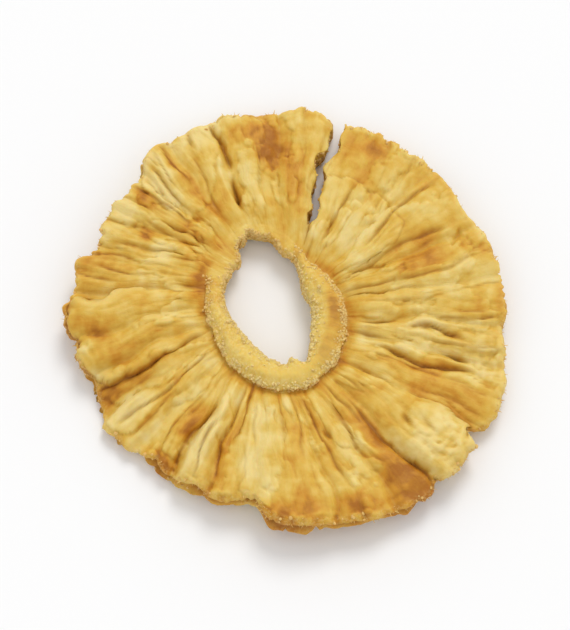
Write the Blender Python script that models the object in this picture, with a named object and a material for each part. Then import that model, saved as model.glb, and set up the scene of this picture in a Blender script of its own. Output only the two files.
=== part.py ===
"""A dried pineapple ring, lying flat with its better side up, at its real size.

Metres, +Z up. The origin is on the surface that the ring rests on, under the middle of its box.

The ring is one solid. A torus is reshaped point by point: its outer side becomes the ragged rim, its
inner side the wall of the cored hole, and between them the flesh is gathered into wedge-shaped lobes
that part at radial furrows. The woody core shrinks less than the flesh, so what the corer left of it
stands up round the hole as a collar. One split runs in from the rim.
"""

import math

import bmesh
import bpy
import numpy as np

MM = 0.001

# Driving dimensions
RIM_RADIUS = 41.8 * MM
HOLE_HALF_WIDTH = 8.0 * MM
HOLE_HALF_LENGTH = 12.6 * MM
HOLE_LEAN = math.radians(16)
HOLE_CENTRE = (-2.7 * MM, 1.8 * MM)
FLESH_THICKNESS = 4.0 * MM
COLLAR_THICKNESS = 4.2 * MM

# How finely the torus is divided
ROUND_STEPS = 160
SECTION_STEPS = 28

# The outline bulges towards these bearings, once and twice round
OUTLINE_ONCE, OUTLINE_ONCE_AT = 1.2 * MM, math.radians(-45)
OUTLINE_TWICE, OUTLINE_TWICE_AT = 1.6 * MM, math.radians(-66)

# How far the rim is notched in between two lobes
NOTCH_DEPTH = 0.8 * MM

# Waves that drying gave the whole slice, twice and three times round
WARP_TWICE, WARP_TWICE_AT = 0.7 * MM, math.radians(-50)
WARP_THRICE, WARP_THRICE_AT = 2.0 * MM, math.radians(35)

# The collar: widest and highest on these sides of the hole, lost in the flesh across from them
COLLAR_WIDTH, COLLAR_WIDTH_SWING = 4.2 * MM, 1.8 * MM
COLLAR_WIDEST_AT = math.radians(-38)
COLLAR_HIGHEST_AT = math.radians(-75)
COLLAR_RISE = 1.8 * MM
COLLAR_STEP = 0.7 * MM
COLLAR_FOOT_DEPTH, COLLAR_FOOT_WIDTH = 1.0 * MM, 1.8 * MM

# Where the torus's own section, from 0 at the hole to 1 at the rim, meets the collar's edge and foot
COLLAR_EDGE_SHARE, COLLAR_FOOT_SHARE = 0.283, 0.389

# Across the flesh, from the foot of the collar to the rim, which ends in two lips with a groove between
CROWN_RISE = 1.0 * MM
RIM_DROP = 0.8 * MM
RIM_GROOVE, RIM_GROOVE_SPREAD = 2.0 * MM, math.radians(9)
UPPER_LIP_SETBACK = 1.0 * MM
EDGE_STEEPNESS = 3.4

FURROW_WIDTH = 1.15 * MM
UNDERSIDE_RELIEF = 0.6

# Round the split the flesh has swung: its fibres reach the hole this much earlier than the rim, and
# the swing dies away this far before the split and after it
TWIST = math.radians(32)
TWIST_BEFORE, TWIST_AFTER = math.radians(55), math.radians(34)

# The split that runs in from the rim
SPLIT_AT = math.radians(74)
SPLIT_INNER_RADIUS, SPLIT_INNER_AT = 19.7 * MM, math.radians(73)
SPLIT_INNER_GAP, SPLIT_OUTER_GAP = 0.7 * MM, 2.2 * MM

# How much of the lowest points is flattened, where the ring's weight rests
REST_FLAT = 1.1 * MM

# Each lobe: the bearing of the furrow before it in degrees, then in millimetres that furrow's depth,
# how far the lobe bulges, how far its end reaches past the outline, and how high its end sits
LOBES = (
    (-62.0, 0.7, 0.6, -0.2, -0.2),
    (-50.0, 1.5, 0.6, 1.0, 1.0),
    (-35.0, 0.5, 0.7, -0.8, 0.0),
    (-19.0, 0.9, 0.5, 0.9, 0.3),
    (-5.0, 0.9, 0.8, 0.3, 0.5),
    (8.0, 0.4, 0.7, 0.5, 0.5),
    (24.0, 0.8, 0.7, 0.3, -0.3),
    (44.0, 0.5, 0.8, 0.5, -0.5),
    (74.0, 0.5, 0.7, 0.9, 0.7),
    (90.0, 0.4, 0.8, 0.4, 0.3),
    (108.0, 0.6, 0.6, 0.4, 0.0),
    (121.0, 0.6, 0.7, -0.2, 0.3),
    (133.0, 0.8, 0.7, -2.0, -0.2),
    (148.0, 0.5, 0.5, -2.7, -0.4),
    (164.0, 0.5, 0.5, -0.6, 0.2),
    (176.0, 1.2, 1.2, 0.9, 0.9),
    (190.0, 0.3, 0.8, -0.5, 0.5),
    (-158.0, 0.9, 0.6, -1.0, -0.2),
    (-146.0, 0.7, 0.8, -0.4, 0.3),
    (-133.0, 0.5, 0.6, -1.6, 0.0),
    (-120.0, 1.3, 0.8, -2.4, 0.5),
    (-110.0, 0.8, 0.9, -2.6, 0.0),
    (-96.0, 0.4, 1.0, -0.4, 0.3),
    (-75.0, 0.5, 0.7, 0.1, -0.1),
)

# The share of a lobe's width over which its reach and height run into its neighbour's
LOBE_STEP_SHARE = 0.18


def smoothstep(low, high, x):
    t = np.clip((x - low) / (high - low), 0.0, 1.0)
    return t * t * (3.0 - 2.0 * t)


def turn_between(a, b):
    """The angle from b to a, the short way round."""
    return (a - b + math.pi) % (2.0 * math.pi) - math.pi


def lobe_table():
    """The lobes as columns, in order round the ring from the first furrow."""
    rows = np.array(LOBES)
    rows[:, 0] = np.radians(rows[:, 0])
    rows[:, 1:] *= MM
    return rows[np.argsort(rows[:, 0])]


def along_lobe(bearing):
    """The lobe that a bearing lies in, and how far across it, from 0 at one furrow to 1 at the next."""
    starts = lobe_table()[:, 0]
    widths = np.diff(np.append(starts, starts[0] + 2.0 * math.pi))
    turned = (bearing - starts[0]) % (2.0 * math.pi) + starts[0]
    index = np.searchsorted(starts, turned, side="right") - 1
    return index, (turned - starts[index]) / widths[index]


def stepped(bearing, values):
    """The value of the lobe at a bearing, with a short step from one lobe to the next."""
    index, across = along_lobe(bearing)
    own, before, after = values[index], values[index - 1], values[(index + 1) % len(values)]
    from_before = 0.5 - 0.5 * smoothstep(0.0, LOBE_STEP_SHARE, across)
    to_after = 0.5 * smoothstep(1.0 - LOBE_STEP_SHARE, 1.0, across)
    return own + (before - own) * from_before + (after - own) * to_after


def rim_radius(bearing):
    round_end = np.sqrt(np.clip(1.0 - (2.0 * along_lobe(bearing)[1] - 1.0) ** 2, 0.0, 1.0))
    return (
        RIM_RADIUS
        + OUTLINE_ONCE * np.cos(bearing - OUTLINE_ONCE_AT)
        + OUTLINE_TWICE * np.cos(2.0 * (bearing - OUTLINE_TWICE_AT))
        + stepped(bearing, lobe_table()[:, 3])
        - NOTCH_DEPTH * (1.0 - round_end)
    )


def hole_bearing(bearing):
    """Where round the hole the fibre that ends at this bearing of the rim begins."""
    past_split = turn_between(bearing, SPLIT_AT)
    spread = np.where(past_split > 0.0, TWIST_AFTER, TWIST_BEFORE)
    return bearing - TWIST * np.exp(-((past_split / spread) ** 2))


def hole_point(bearing):
    at = hole_bearing(bearing) - HOLE_LEAN
    wide = HOLE_HALF_WIDTH * np.cos(at)
    long = HOLE_HALF_LENGTH * np.sin(at)
    x = HOLE_CENTRE[0] + wide * math.cos(HOLE_LEAN) - long * math.sin(HOLE_LEAN)
    y = HOLE_CENTRE[1] + wide * math.sin(HOLE_LEAN) + long * math.cos(HOLE_LEAN)
    return np.stack([x, y], axis=-1)


def rim_point(bearing):
    radius = rim_radius(bearing)
    return np.stack([radius * np.cos(bearing), radius * np.sin(bearing)], axis=-1)


def collar_width(bearing):
    return COLLAR_WIDTH + COLLAR_WIDTH_SWING * np.cos(hole_bearing(bearing) - COLLAR_WIDEST_AT)


def collar_share(bearing):
    """1 where the collar stands free of the flesh, 0 where the flesh covers it."""
    return smoothstep(-0.75, 0.1, np.cos(hole_bearing(bearing) - COLLAR_HIGHEST_AT))


def middle_height(bearing, across):
    """The height of the middle of the thickness: the slice's waves, and its lobes' own heights."""
    waves = WARP_TWICE * np.cos(2.0 * (bearing - WARP_TWICE_AT))
    waves += WARP_THRICE * np.cos(3.0 * (bearing - WARP_THRICE_AT))
    return across**2 * (waves + stepped(bearing, lobe_table()[:, 4]))


def half_thickness(bearing, out, fleshy, upper):
    """Half the thickness, out from the hole's edge in metres and as a share of the flesh's width."""
    past_collar = out - collar_width(bearing)
    in_collar = 1.0 - smoothstep(0.0, COLLAR_STEP, past_collar)
    collar = COLLAR_THICKNESS / 2.0 + np.where(upper, COLLAR_RISE * collar_share(bearing), 0.0)
    foot = np.exp(-(((past_collar - COLLAR_STEP) / COLLAR_FOOT_WIDTH) ** 2))
    crown = np.sin(math.pi * fleshy**0.8)
    flesh = (
        FLESH_THICKNESS / 2.0
        + CROWN_RISE / 2.0 * crown
        - RIM_DROP / 2.0 * smoothstep(0.75, 1.0, fleshy)
        - COLLAR_FOOT_DEPTH / 2.0 * foot * collar_share(bearing)
    )
    return flesh + (collar - flesh) * in_collar


def relief(bearing, reach_out, fleshy):
    """The lobes' rise and the furrows between them, at a distance from the middle in metres."""
    table = lobe_table()
    index, across = along_lobe(bearing)
    lobes = table[index, 2] * (1.0 - (2.0 * across - 1.0) ** 2)
    furrows = np.zeros_like(bearing)
    for start, depth in table[:, :2]:
        aside = np.abs(turn_between(bearing, start)) * reach_out
        furrows += depth * np.exp(-((aside / FURROW_WIDTH) ** 1.5))
    return (lobes - furrows) * smoothstep(0.0, 0.18, fleshy)


def distance_out(share, collar, length):
    """The distance from the hole's edge at a share of the torus's section, crowded at the collar."""
    on_collar = collar * share / COLLAR_EDGE_SHARE
    on_step = collar + COLLAR_STEP * (share - COLLAR_EDGE_SHARE) / (COLLAR_FOOT_SHARE - COLLAR_EDGE_SHARE)
    foot = collar + COLLAR_STEP
    on_flesh = foot + (length - foot) * (share - COLLAR_FOOT_SHARE) / (1.0 - COLLAR_FOOT_SHARE)
    return np.select([share < COLLAR_EDGE_SHARE, share < COLLAR_FOOT_SHARE], [on_collar, on_step], on_flesh)


def reshaped(points, major_radius):
    """The torus's points, moved to where the ring's surface is."""
    x, y, z = points.T
    bearing = np.arctan2(y, x)
    section = np.arctan2(z, np.hypot(x, y) - major_radius)
    face = np.tanh(EDGE_STEEPNESS * np.sin(section)) / math.tanh(EDGE_STEEPNESS)
    upper = face > 0.0

    hole, rim = hole_point(bearing), rim_point(bearing)
    length = np.linalg.norm(rim - hole, axis=-1)
    out = distance_out(0.5 + 0.5 * np.cos(section), collar_width(bearing), length)
    out -= RIM_GROOVE * np.exp(-((section / RIM_GROOVE_SPREAD) ** 2))
    out -= np.where(upper, UPPER_LIP_SETBACK * (out / length) ** 4, 0.0)
    across = out / length
    plan = hole + (rim - hole) * across[:, None]
    fleshy = np.clip((out - collar_width(bearing)) / (length - collar_width(bearing)), 0.0, 1.0)

    lift = relief(bearing, np.linalg.norm(plan, axis=-1), fleshy)
    height = (
        middle_height(bearing, across)
        + face * half_thickness(bearing, out, fleshy, upper)
        + lift * face * np.where(upper, 1.0, UNDERSIDE_RELIEF)
    )
    return np.column_stack([plan, height])


def settled(points):
    """The lowest points flattened to rest on, and the middle of the box's base at the origin."""
    points[:, 2] = np.maximum(points[:, 2], points[:, 2].min() + REST_FLAT)
    low, high = points.min(axis=0), points.max(axis=0)
    origin = np.array([*((low + high) / 2.0)[:2], low[2]])
    return points - origin, origin


def add_material(obj):
    material = bpy.data.materials.new("dried_flesh")
    material.use_nodes = True
    shader = material.node_tree.nodes["Principled BSDF"]
    shader.inputs["Base Color"].default_value = (0.62, 0.38, 0.085, 1.0)
    shader.inputs["Roughness"].default_value = 0.5
    shader.inputs["Metallic"].default_value = 0.0
    obj.data.materials.append(material)


def add_ring(collection):
    """The ring's body, and where the ring's own centre lies from the origin."""
    major_radius, minor_radius = 0.6 * RIM_RADIUS, 0.3 * RIM_RADIUS
    bpy.ops.mesh.primitive_torus_add(
        major_segments=ROUND_STEPS,
        minor_segments=SECTION_STEPS,
        major_radius=major_radius,
        minor_radius=minor_radius,
    )
    ring = bpy.context.object
    ring.name = "pineapple_ring"
    points = np.empty(len(ring.data.vertices) * 3)
    ring.data.vertices.foreach_get("co", points)
    points, origin = settled(reshaped(points.reshape(-1, 3), major_radius))
    ring.data.vertices.foreach_set("co", points.ravel())
    ring.data.update()
    ring.data.shade_smooth()
    add_material(ring)
    for owner in list(ring.users_collection):
        owner.objects.unlink(ring)
    collection.objects.link(ring)
    return ring, origin


def add_split_cutter(collection, origin):
    """A tapered slab, narrow at its inner end, that stands through the flesh where it has split."""
    inner = SPLIT_INNER_RADIUS * np.array([math.cos(SPLIT_INNER_AT), math.sin(SPLIT_INNER_AT)])
    outer = 1.25 * RIM_RADIUS * np.array([math.cos(SPLIT_AT), math.sin(SPLIT_AT)])
    along = outer - inner
    aside = np.array([-along[1], along[0]]) / np.linalg.norm(along)

    shape = bmesh.new()
    bmesh.ops.create_cube(shape, size=2.0)
    for vertex in shape.verts:
        end, gap = (outer, SPLIT_OUTER_GAP) if vertex.co.x > 0.0 else (inner, SPLIT_INNER_GAP)
        place = end + aside * (vertex.co.y * gap / 2.0) - origin[:2]
        vertex.co = (*place, vertex.co.z * RIM_RADIUS)
    bmesh.ops.recalc_face_normals(shape, faces=shape.faces)
    mesh = bpy.data.meshes.new("split_cutter")
    shape.to_mesh(mesh)
    shape.free()
    cutter = bpy.data.objects.new("split_cutter", mesh)
    cutter.hide_render = True
    cutter.display_type = "WIRE"
    collection.objects.link(cutter)
    return cutter


def cut(target, cutter):
    modifier = target.modifiers.new("split", "BOOLEAN")
    modifier.operation = "DIFFERENCE"
    modifier.solver = "EXACT"
    modifier.object = cutter


def new_collection(name):
    collection = bpy.data.collections.new(name)
    bpy.context.scene.collection.children.link(collection)
    return collection


def main():
    for old in list(bpy.data.objects):
        bpy.data.objects.remove(old)
    ring, origin = add_ring(new_collection("dried_pineapple_ring"))
    cut(ring, add_split_cutter(new_collection("cutters"), origin))


main()
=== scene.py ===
"""Dresses the dried pineapple ring: a cored slice that lies flat with its better side up.

Lengths are in metres. A bearing is an angle round the ring in its own plane, in radians, from +X
towards +Y. A share runs along a fibre of the flesh, from 0 at the cored hole to 1 at the rim.
"""

import functools
import itertools
import math

import bmesh
import bpy
import numpy as np
from bpy.props import FloatProperty, FloatVectorProperty, PointerProperty
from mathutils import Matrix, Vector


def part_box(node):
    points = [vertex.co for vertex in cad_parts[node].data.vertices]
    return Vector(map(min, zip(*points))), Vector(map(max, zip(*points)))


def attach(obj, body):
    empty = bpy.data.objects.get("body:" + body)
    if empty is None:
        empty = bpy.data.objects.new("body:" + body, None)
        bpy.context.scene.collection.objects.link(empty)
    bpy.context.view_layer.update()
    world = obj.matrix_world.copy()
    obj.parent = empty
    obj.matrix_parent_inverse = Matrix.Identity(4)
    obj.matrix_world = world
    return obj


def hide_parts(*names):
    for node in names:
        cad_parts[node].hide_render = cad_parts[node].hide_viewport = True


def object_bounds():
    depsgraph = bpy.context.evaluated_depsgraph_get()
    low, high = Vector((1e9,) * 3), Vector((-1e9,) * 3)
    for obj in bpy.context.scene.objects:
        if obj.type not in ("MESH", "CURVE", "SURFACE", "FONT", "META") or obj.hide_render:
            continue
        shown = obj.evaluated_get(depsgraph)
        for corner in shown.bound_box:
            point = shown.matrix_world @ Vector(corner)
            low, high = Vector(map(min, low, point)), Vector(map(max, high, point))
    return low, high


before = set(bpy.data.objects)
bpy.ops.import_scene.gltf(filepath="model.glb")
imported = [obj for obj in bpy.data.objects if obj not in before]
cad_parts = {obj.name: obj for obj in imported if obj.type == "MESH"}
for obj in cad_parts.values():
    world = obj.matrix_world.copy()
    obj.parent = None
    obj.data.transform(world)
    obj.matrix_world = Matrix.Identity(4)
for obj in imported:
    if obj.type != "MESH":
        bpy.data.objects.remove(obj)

bl_info = {
    "name": "Dried Pineapple Ring",
    "version": (1, 0, 0),
    "blender": (4, 5, 0),
    "location": "View3D > Sidebar > Dried fruit",
    "description": "Builds the wrinkled flesh, crumbs and stray fibres of a dried pineapple ring",
    "category": "Mesh",
}

MM = 0.001
CAD_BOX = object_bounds()
NODE = "pineapple_ring"
BODY = "root"

# The ring's proportions. Its solid has much the same: the hole, the thin part of the collar, the split
# and the reach of some lobes are set a little more exactly here
RIM_RADIUS = 41.8 * MM
HOLE_HALF_WIDTH = 8.0 * MM
HOLE_HALF_LENGTH = 12.9 * MM
HOLE_LEAN = math.radians(16)
HOLE_CENTRE = (-2.0 * MM, 1.2 * MM)
FLESH_THICKNESS = 4.0 * MM
COLLAR_THICKNESS = 4.2 * MM
OUTLINE_ONCE, OUTLINE_ONCE_AT = 1.2 * MM, math.radians(-45)
OUTLINE_TWICE, OUTLINE_TWICE_AT = 1.6 * MM, math.radians(-66)
NOTCH_DEPTH = 0.8 * MM
WARP_TWICE, WARP_TWICE_AT = 0.7 * MM, math.radians(-50)
WARP_THRICE, WARP_THRICE_AT = 2.0 * MM, math.radians(35)
COLLAR_WIDTH, COLLAR_WIDTH_SWING = 4.2 * MM, 1.8 * MM
COLLAR_WIDEST_AT = math.radians(-38)
COLLAR_NARROWING = 2.2 * MM
COLLAR_NARROW_AT, COLLAR_NARROW_SPREAD = math.radians(32), math.radians(24)
COLLAR_HIGHEST_AT = math.radians(-75)
COLLAR_RISE = 1.8 * MM
GOLDEN_AT, GOLDEN_SPREAD = math.radians(-6), math.radians(36)
COLLAR_STEP = 0.7 * MM
COLLAR_CROWN = 1.3 * MM
COLLAR_FOOT_DEPTH, COLLAR_FOOT_WIDTH = 1.0 * MM, 1.8 * MM
CROWN_RISE = 1.0 * MM
RIM_DROP = 0.8 * MM
RIM_GROOVE = 2.0 * MM
LIP_SETBACK = 1.5 * MM
LIP_SETBACK_AT, LIP_SETBACK_SPREAD = math.radians(-95), math.radians(30)
FURROW_WIDTH, FURROW_SHARE = 0.9 * MM, 0.75
UNDERSIDE_RELIEF = 0.6
TWIST = math.radians(32)
TWIST_BEFORE, TWIST_AFTER = math.radians(55), math.radians(34)
REST_FLAT = 1.1 * MM

# The split opens at this share of the fibres' length, and widens towards the rim
SPLIT_AT = math.radians(74)
SPLIT_ROOT = 0.26
SPLIT_INNER_GAP, SPLIT_OUTER_GAP = 1.3 * MM, 2.4 * MM

# Each lobe: the bearing of the furrow before it in degrees, then in millimetres that furrow's depth,
# how far the lobe bulges, how far its end reaches past the outline, and how high its end sits
LOBES = (
    (-62.0, 0.7, 0.6, 3.4, -0.2),
    (-50.0, 1.5, 0.6, 2.9, 1.0),
    (-35.0, 0.5, 0.7, 2.8, 0.0),
    (-16.0, 0.9, 0.5, 1.2, 0.3),
    (-5.0, 0.9, 0.8, 1.6, 0.5),
    (8.0, 0.4, 0.7, 1.2, 0.5),
    (24.0, 0.8, 0.7, 0.6, -0.3),
    (44.0, 0.5, 0.8, 0.5, -0.5),
    (74.0, 0.5, 0.7, 0.6, 0.7),
    (90.0, 0.4, 0.8, 0.3, 0.3),
    (108.0, 0.6, 0.6, -1.1, 0.0),
    (121.0, 0.6, 0.7, -1.6, 0.3),
    (133.0, 0.8, 0.7, -4.4, -0.2),
    (148.0, 0.5, 0.5, -4.3, -0.4),
    (164.0, 0.5, 0.5, -1.3, 0.2),
    (176.0, 1.2, 1.2, 0.7, 0.9),
    (190.0, 0.3, 0.8, -0.7, 0.5),
    (-158.0, 0.9, 0.6, -1.5, -0.2),
    (-146.0, 0.7, 0.8, 0.0, 0.3),
    (-133.0, 0.5, 0.6, -1.7, 0.0),
    (-120.0, 1.3, 0.8, -1.2, 0.5),
    (-110.0, 0.8, 0.9, -0.8, 0.0),
    (-96.0, 0.4, 1.0, 1.8, 0.3),
    (-75.0, 0.5, 0.7, 2.8, -0.1),
)
LOBE_STEP_SHARE = 0.18

# Flaps of flesh that lie over what is beside them: the bearing in degrees and the share of the flap's
# middle, how far it spans to each side in degrees and in share, and its height in millimetres
FLAPS = (
    (192.5, 0.58, 14.5, 0.38, 1.6),
    (-42.5, 0.76, 8.0, 0.30, 1.4),
    (-141.5, 0.77, 4.0, 0.19, 0.4),
    (102.0, 0.70, 7.0, 0.26, 0.4),
    (50.0, 0.40, 19.0, 0.26, 0.4),
    (-63.0, 0.36, 4.0, 0.22, 0.4),
    (151.0, 0.84, 8.0, 0.20, 0.5),
    (-124.0, 0.70, 3.5, 0.20, 0.4),
    (133.0, 0.66, 4.5, 0.30, 0.5),
    (11.0, 0.70, 5.0, 0.32, 0.4),
    (-7.0, 0.80, 5.0, 0.22, 0.4),
    (-88.0, 0.70, 12.0, 0.34, 0.3),
    (-27.0, 0.80, 5.0, 0.22, 0.4),
)

# Creases: bearing in degrees, the shares where each starts and ends, then in millimetres its depth,
# its half width, and how much higher the side with the larger bearing stands
CREASES = (
    (71.0, 0.14, 0.36, 0.9, 0.40, 0.3),
    (66.0, 0.02, 0.20, 0.8, 0.40, 0.3),
    (97.0, 0.40, 0.75, 0.4, 0.35, -0.3),
    (108.4, 0.58, 0.98, 1.8, 0.42, 0.6),
    (107.6, 0.27, 0.50, 1.9, 0.38, 0.4),
    (115.0, 0.82, 0.95, 0.8, 0.35, 0.2),
    (118.5, 0.30, 0.80, 0.4, 0.35, 0.3),
    (123.8, 0.58, 0.97, 0.7, 0.35, 0.6),
    (128.0, 0.66, 0.98, 0.4, 0.30, 0.3),
    (131.3, 0.45, 0.90, 0.6, 0.32, 0.4),
    (134.2, 0.50, 0.95, 0.4, 0.30, 0.3),
    (137.6, 0.42, 0.96, 0.9, 0.40, 0.6),
    (143.5, 0.15, 0.60, 0.5, 0.35, -0.4),
    (147.5, 0.30, 0.75, 0.4, 0.35, -0.3),
    (158.0, 0.20, 0.50, 0.4, 0.35, 0.4),
    (163.0, 0.60, 1.05, 0.5, 0.35, 0.4),
    (168.2, 0.58, 0.84, 0.8, 0.36, 0.5),
    (171.5, 0.70, 1.02, 0.5, 0.33, 0.4),
    (174.0, 0.10, 0.32, 0.6, 0.33, 0.4),
    (178.3, 0.72, 0.92, 1.1, 0.50, 0.6),
    (207.0, 0.16, 0.98, 0.6, 0.40, -0.6),
    (213.0, 0.50, 0.95, 0.3, 0.35, 0.2),
    (219.3, 0.18, 0.92, 0.6, 0.35, -0.5),
    (223.0, 0.55, 0.94, 0.4, 0.30, 0.3),
    (232.5, 0.40, 0.94, 0.4, 0.32, 0.3),
    (239.8, 0.42, 0.94, 0.9, 0.40, 0.6),
    (245.0, 0.50, 0.96, 0.6, 0.32, -0.3),
    (250.5, 0.20, 0.92, 0.5, 0.35, -0.5),
    (256.5, 0.12, 0.60, 0.6, 0.40, 0.4),
    (-98.0, 0.30, 0.62, 0.3, 0.32, 0.2),
    (-88.0, 0.14, 0.50, 0.4, 0.36, -0.3),
    (-79.5, 0.14, 0.60, 0.4, 0.35, 0.3),
    (-71.0, 0.20, 0.75, 0.5, 0.35, 0.3),
    (-60.5, 0.30, 0.66, 0.8, 0.35, -0.5),
    (-55.0, 0.16, 0.50, 0.5, 0.35, 0.4),
    (-51.5, 0.36, 1.08, 0.7, 0.45, 0.5),
    (-45.5, 0.16, 0.40, 0.5, 0.33, 0.3),
    (-39.5, 0.68, 0.80, 0.6, 0.35, 0.2),
    (-36.0, 0.14, 0.50, 0.4, 0.33, 0.3),
    (-31.0, 0.60, 0.98, 0.4, 0.33, 0.3),
    (-25.0, 0.30, 0.90, 0.3, 0.32, -0.3),
    (-20.4, 0.33, 0.82, 1.3, 0.38, 0.6),
    (-17.0, 0.66, 0.82, 0.9, 0.40, 0.3),
    (-14.6, 0.18, 0.38, 0.8, 0.30, 0.3),
    (-12.0, 0.60, 0.98, 0.6, 0.30, 0.3),
    (-9.4, 0.48, 0.78, 1.1, 0.34, 0.4),
    (-6.0, 0.25, 0.42, 0.9, 0.30, 0.3),
    (-3.5, 0.62, 0.98, 0.6, 0.30, 0.3),
    (4.0, 0.25, 0.70, 0.3, 0.35, 0.2),
    (9.0, 0.16, 0.60, 0.4, 0.33, 0.3),
    (14.5, 0.14, 0.90, 0.5, 0.40, 0.4),
    (28.0, 0.20, 0.84, 0.5, 0.40, 0.5),
    (41.0, 0.40, 0.95, 0.6, 0.45, 0.4),
    (60.0, 0.22, 0.60, 0.6, 0.35, 0.3),
)

# Cords of tough fibre that stand up: bearing in degrees, start, end, then height and half width in
# millimetres
CORDS = (
    (-116.5, 0.38, 1.00, 1.0, 0.75),
    (-113.2, 0.52, 0.98, 0.7, 0.55),
    (-107.5, 0.16, 0.40, 0.6, 0.60),
    (-82.0, 0.19, 0.30, 0.6, 1.00),
    (-67.0, 0.18, 0.46, 0.4, 0.50),
    (-63.5, 0.15, 0.50, 0.6, 0.80),
    (-58.5, 0.48, 0.70, 0.8, 0.70),
    (-18.0, 0.40, 0.98, 0.5, 0.50),
    (-15.0, 0.30, 0.95, 0.5, 0.60),
    (-11.0, 0.20, 1.00, 0.6, 0.60),
    (-7.5, 0.30, 0.95, 0.5, 0.50),
    (-5.0, 0.50, 0.98, 0.5, 0.50),
    (78.0, 0.20, 0.70, 0.5, 0.80),
    (110.6, 0.30, 0.98, 0.6, 0.50),
    (127.0, 0.62, 1.00, 0.5, 0.60),
    (132.8, 0.50, 0.96, 0.4, 0.50),
    (136.0, 0.20, 0.90, 0.4, 0.70),
)

# Knobbly places: bearing in degrees, share, their spreads, and the height of a knob in millimetres
KNOBBLY = (
    (-42.0, 0.90, 8.0, 0.12, 0.8),
    (-16.0, 0.90, 5.0, 0.10, 0.5),
    (-80.0, 0.99, 14.0, 0.05, 0.7),
    (-114.0, 0.98, 9.0, 0.06, 0.7),
    (-166.0, 0.94, 7.0, 0.08, 0.5),
    (182.0, 0.99, 5.0, 0.05, 0.7),
    (120.0, 0.98, 16.0, 0.05, 0.5),
    (56.0, 0.97, 14.0, 0.05, 0.5),
)

# Pits: bearing in degrees, share, then radius and depth in millimetres
PITS = (
    (107.9, 0.33, 0.5, 1.2),
    (178.6, 0.83, 0.8, 1.2),
    (-178.5, 0.93, 0.6, 0.8),
    (-68.0, 0.47, 0.7, 1.2),
    (-43.5, 0.64, 0.8, 1.1),
    (-16.5, 0.75, 0.7, 0.8),
)

# Nicks (more than 0) and knobs in the edge of the hole: bearing round the hole in degrees, depth in
# millimetres, and half width in degrees
HOLE_NICKS = (
    (119.0, 0.9, 5.0),
    (102.0, 1.2, 7.0),
    (86.0, 1.2, 18.0),
    (74.0, 0.4, 6.0),
    (62.0, -0.5, 5.0),
    (46.0, 0.8, 8.0),
    (22.0, -1.0, 15.0),
    (-60.0, 2.2, 22.0),
    (-67.0, -2.2, 6.0),
    (-128.0, -1.0, 30.0),
    (158.0, -1.0, 12.0),
    (137.0, -2.1, 12.0),
)

# Notches in the rim: bearing in degrees, depth in millimetres, and half width in degrees
RIM_NOTCHES = (
    (-35.0, 3.8, 2.2),
    (-51.0, 1.0, 1.4),
    (-96.0, 1.9, 4.0),
    (-126.0, 0.8, 1.5),
    (178.5, 1.0, 1.6),
    (158.0, 0.8, 1.5),
)

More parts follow.
